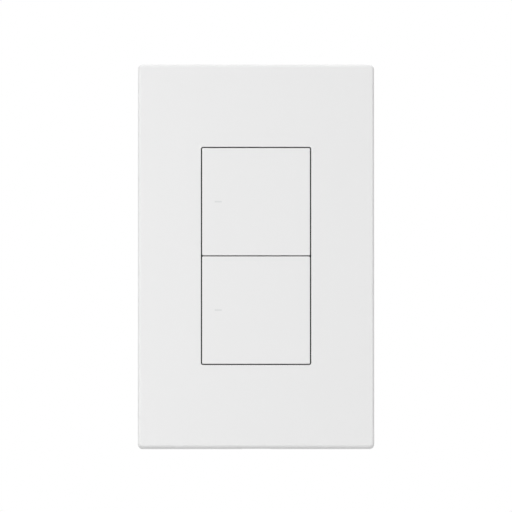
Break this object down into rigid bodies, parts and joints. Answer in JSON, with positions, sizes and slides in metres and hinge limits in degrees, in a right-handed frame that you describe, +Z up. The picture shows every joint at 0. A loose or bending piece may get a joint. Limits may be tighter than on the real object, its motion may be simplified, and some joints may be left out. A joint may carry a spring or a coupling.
{
  "type": "smart light switch",
  "caption": "Smart light switch with flush hinged rebound keys in a screwless wall plate, on a steel yoke, with radio, relays and rear wire terminals in a wall-box housing.",
  "frame": {"origin": "centre of the wall plane, midway between the box screws", "axes": "+X to the right, +Y into the wall, +Z up; the keys face -Y"},
  "size_m": [0.0738, 0.0433, 0.12],
  "materials": {
    "plate_plastic": "satin moulded white",
    "key_plastic": "satin moulded white",
    "guide_plastic": "milky translucent",
    "base_plastic": "moulded off-white",
    "deck_plastic": "moulded black",
    "case_plastic": "fine spark texture, charcoal",
    "terminal_plastic": "moulded grey",
    "zinc_steel": "bright zinc",
    "ground_green": "green passivated",
    "brass": "bright",
    "board_green": "solder mask",
    "chip_plastic": "moulded black",
    "plunger_plastic": "moulded grey",
    "lamp_resin": "clear resin",
    "shield_steel": "tinned",
    "sheet_film": "pressed film",
    "relay_plastic": "moulded blue",
    "ferrite": "sintered",
    "winding_tape": "polyester tape",
    "can_sleeve": "shrunk sleeve",
    "film_box": "moulded box",
    "varistor_coat": "dipped epoxy",
    "fuse_body": "ceramic tube"
  },
  "bodies": {
    "housing": {"board_screws": "zinc_steel", "box_screws": "zinc_steel", "case_screws": "zinc_steel", "choke": "ferrite", "control_board": "board_green", "control_chips": "chip_plastic", "filter_capacitor": "film_box", "front_housing": "deck_plastic", "fuse": "fuse_body", "ground_screw": "ground_green", "input_capacitor": "can_sleeve", "insulating_sheet": "sheet_film", "link_pins": "brass", "link_strip": "chip_plastic", "lower_indicator_lamp": "lamp_resin", "lower_tact_body": "chip_plastic", "lower_tact_cover": "zinc_steel", "output_capacitor": "can_sleeve", "plate_base": "base_plastic", "plate_screws": "zinc_steel", "power_board": "board_green", "power_chips": "chip_plastic", "radio_board": "board_green", "radio_shield": "shield_steel", "rear_housing": "case_plastic", "relay_1": "relay_plastic", "relay_2": "relay_plastic", "terminal_cages": "brass", "terminal_line": "terminal_plastic", "terminal_load_1": "terminal_plastic", "terminal_load_2": "terminal_plastic", "terminal_neutral": "terminal_plastic", "terminal_screws": "zinc_steel", "transformer_core": "ferrite", "transformer_winding": "winding_tape", "upper_indicator_lamp": "lamp_resin", "upper_tact_body": "chip_plastic", "upper_tact_cover": "zinc_steel", "varistor": "varistor_coat", "wall_plate": "plate_plastic", "yoke": "zinc_steel"},
    "upper_key": {"upper_key": "key_plastic", "upper_light_guide": "guide_plastic"},
    "lower_key": {"lower_key": "key_plastic", "lower_light_guide": "guide_plastic"},
    "upper_plunger": {"upper_tact_plunger": "plunger_plastic"},
    "lower_plunger": {"lower_tact_plunger": "plunger_plastic"}
  },
  "joints": [
    {"name": "upper_key_press", "type": "hinge", "parent": "housing", "child": "upper_key", "pos_m": [0, -0.0052, 0.03039], "axis": [1, 0, 0], "range_deg": [0, 2], "stiffness_Nm_per_rad": 0.3, "springref_deg": -2.86},
    {"name": "upper_plunger_slide", "type": "slide", "parent": "housing", "child": "upper_plunger", "axis": [0, 1, 0], "range_m": [0, 0.000468]},
    {"name": "lower_key_press", "type": "hinge", "parent": "housing", "child": "lower_key", "pos_m": [0, -0.0052, -0.00357], "axis": [1, 0, 0], "range_deg": [0, 2], "stiffness_Nm_per_rad": 0.3, "springref_deg": -2.86},
    {"name": "lower_plunger_slide", "type": "slide", "parent": "housing", "child": "lower_plunger", "axis": [0, 1, 0], "range_m": [0, 0.000468]}
  ],
  "couplings": [
    {"joint": "upper_plunger_slide", "follows": "upper_key_press", "m_per_rad": 0.01341},
    {"joint": "lower_plunger_slide", "follows": "lower_key_press", "m_per_rad": 0.01341}
  ]
}
